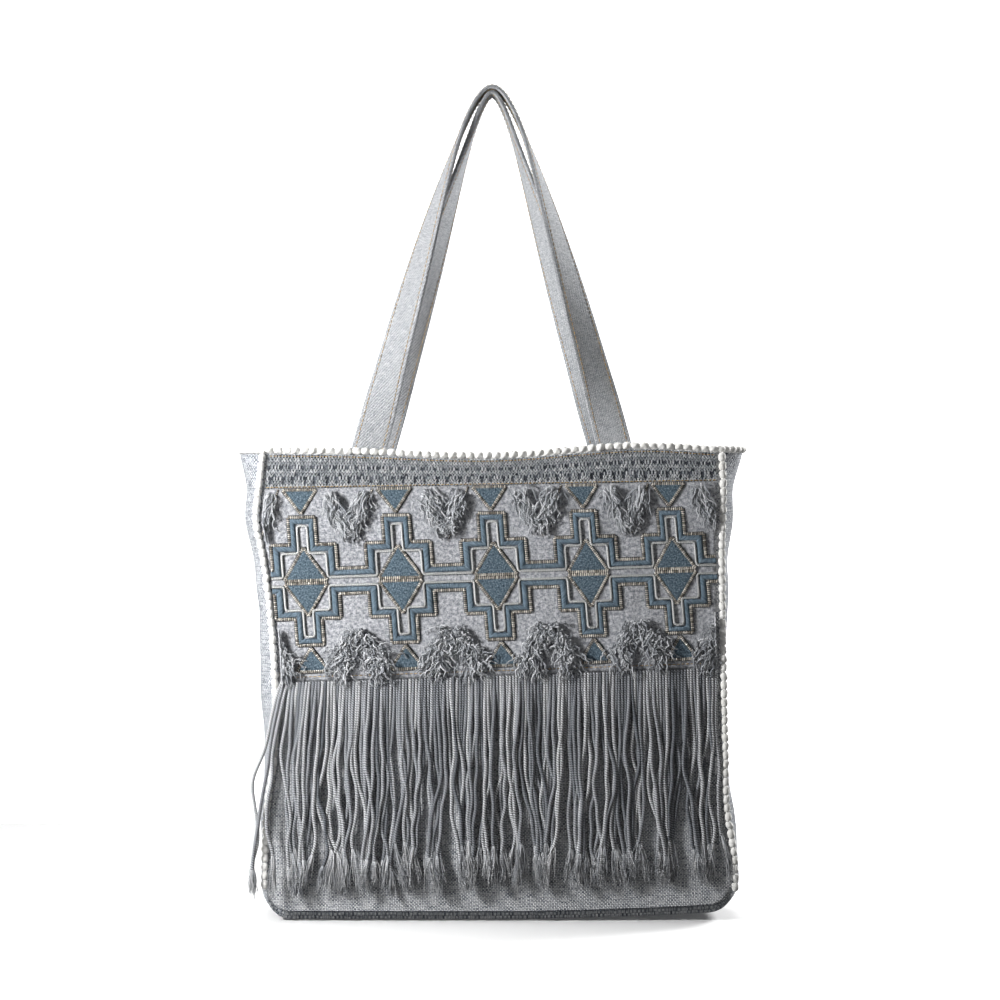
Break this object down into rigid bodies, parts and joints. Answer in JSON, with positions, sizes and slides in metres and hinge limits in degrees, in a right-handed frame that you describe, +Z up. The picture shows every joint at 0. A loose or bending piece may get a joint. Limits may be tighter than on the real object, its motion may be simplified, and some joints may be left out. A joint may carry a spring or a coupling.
{
  "type": "fringe tote bag",
  "caption": "Open cloth tote bag with a felt front of stepped diamonds, shaggy tufts, a long cord fringe, bobble trim and two shoulder straps, hung by its straps.",
  "frame": {"origin": "underside of the strap loop's top, where a hook or a hand carries the bag", "axes": "+Z up, +X to the right of someone who faces the front, the front faces -Y"},
  "size_m": [0.4096, 0.1023, 0.6744],
  "materials": {
    "woven_cotton": "light grey slub weave",
    "lace": "grey cotton crochet lace",
    "grey_felt": "washed grey felt",
    "blue_felt": "slate blue felt",
    "yarn": "grey cotton yarn",
    "bobble_cotton": "off-white cotton bobbles",
    "strap_cloth": "faded grey denim",
    "seed_beads": "silver-beige glass seed beads",
    "soutache": "off-white cotton cord",
    "stitching": "ochre sewing thread"
  },
  "bodies": {
    "root": {"front_panel": "woven_cotton", "back_panel": "woven_cotton", "gusset": "woven_cotton", "mouth_trim": "bobble_cotton", "left_trim": "bobble_cotton", "right_trim": "bobble_cotton", "lace_band": "lace", "applique_panel": "grey_felt", "stepped_band_upper": "blue_felt", "stepped_band_lower": "blue_felt", "diamond_1_upper": "blue_felt", "diamond_1_lower": "blue_felt", "triangle_top_1": "blue_felt", "triangle_bottom_1": "blue_felt", "diamond_2_upper": "blue_felt", "diamond_2_lower": "blue_felt", "triangle_top_2": "blue_felt", "triangle_bottom_2": "blue_felt", "diamond_3_upper": "blue_felt", "diamond_3_lower": "blue_felt", "triangle_top_3": "blue_felt", "triangle_bottom_3": "blue_felt", "diamond_4_upper": "blue_felt", "diamond_4_lower": "blue_felt", "triangle_top_4": "blue_felt", "triangle_bottom_4": "blue_felt", "diamond_5_upper": "blue_felt", "diamond_5_lower": "blue_felt", "triangle_top_5": "blue_felt", "triangle_bottom_5": "blue_felt", "tuft_top_1": "yarn", "tuft_bottom_1": "yarn", "tuft_top_2": "yarn", "tuft_bottom_2": "yarn", "tuft_top_3": "yarn", "tuft_bottom_3": "yarn", "tuft_top_4": "yarn", "tuft_bottom_4": "yarn", "tuft_top_5": "yarn", "tuft_bottom_5": "yarn", "tuft_top_6": "yarn", "tuft_bottom_6": "yarn", "fringe": "yarn", "front_strap": "strap_cloth", "back_strap": "strap_cloth"}
  },
  "joints": []
}
